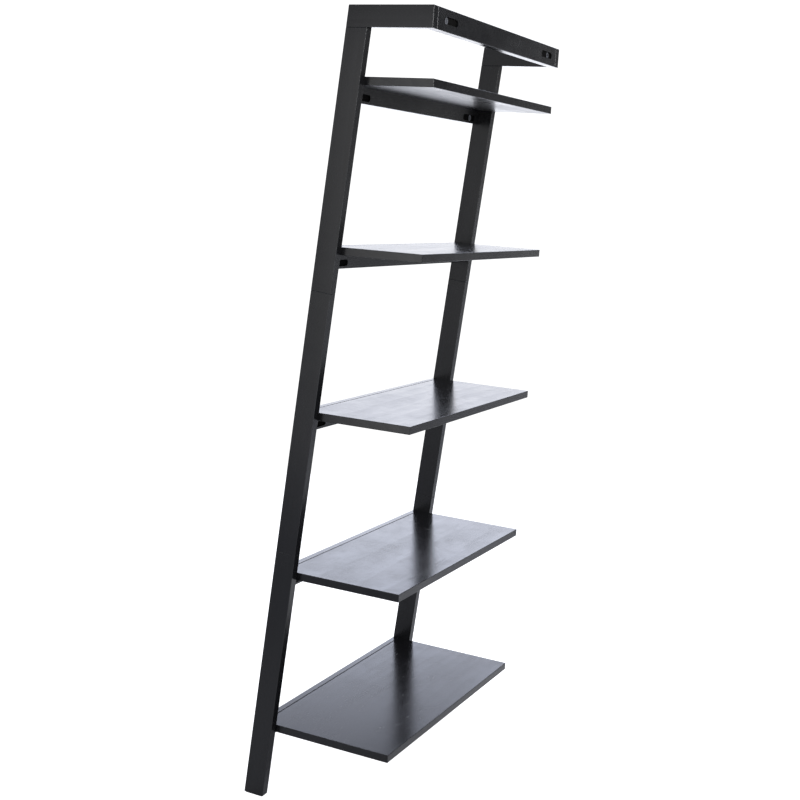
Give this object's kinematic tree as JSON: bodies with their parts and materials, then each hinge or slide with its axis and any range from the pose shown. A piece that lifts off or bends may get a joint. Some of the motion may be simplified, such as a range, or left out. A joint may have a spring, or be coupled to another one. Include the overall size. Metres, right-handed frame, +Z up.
{
  "type": "ladder shelf",
  "caption": "Leaning wall ladder shelf with slanted posts, level boards that deepen towards the floor, thin front crossbars and a U-shaped top frame that rests on the wall",
  "frame": {"origin": "centre of the overall box in X and Y, at floor level", "axes": "+Z up, +X to the right of a person facing the shelf, -Y the front towards the room, +Y the wall"},
  "size_m": [0.75, 0.3579, 1.8],
  "materials": {
    "black_laminate": "satin near-black wood-grain laminate",
    "zinc_plated_steel": "bright zinc plate",
    "plain_steel": "drawn steel",
    "beech": "fluted beech dowel",
    "black_plastic": "matt moulded plastic",
    "rubber": "matt anti-slip rubber"
  },
  "bodies": {
    "root": {"left_post_lower": "black_laminate", "left_post_middle": "black_laminate", "left_post_upper": "black_laminate", "right_post_lower": "black_laminate", "right_post_middle": "black_laminate", "right_post_upper": "black_laminate", "left_arm": "black_laminate", "right_arm": "black_laminate", "wall_rail": "black_laminate", "shelf_board_1": "black_laminate", "shelf_board_2": "black_laminate", "shelf_board_3": "black_laminate", "shelf_board_4": "black_laminate", "shelf_board_5": "black_laminate", "crossbar_1": "black_laminate", "crossbar_2": "black_laminate", "crossbar_3": "black_laminate", "crossbar_4": "black_laminate", "crossbar_5": "black_laminate", "rail_cam_locks": "zinc_plated_steel", "rail_cam_bolts": "zinc_plated_steel", "crossbar_cam_locks": "zinc_plated_steel", "crossbar_cam_bolts": "zinc_plated_steel", "board_cam_locks": "zinc_plated_steel", "board_cam_bolts": "zinc_plated_steel", "arm_screws": "zinc_plated_steel", "rail_dowels": "beech", "crossbar_dowels": "beech", "side_dowels": "beech", "board_dowels": "beech", "arm_dowels": "beech", "splice_pins": "plain_steel", "screw_caps": "black_plastic", "foot_pads": "rubber"}
  },
  "joints": []
}
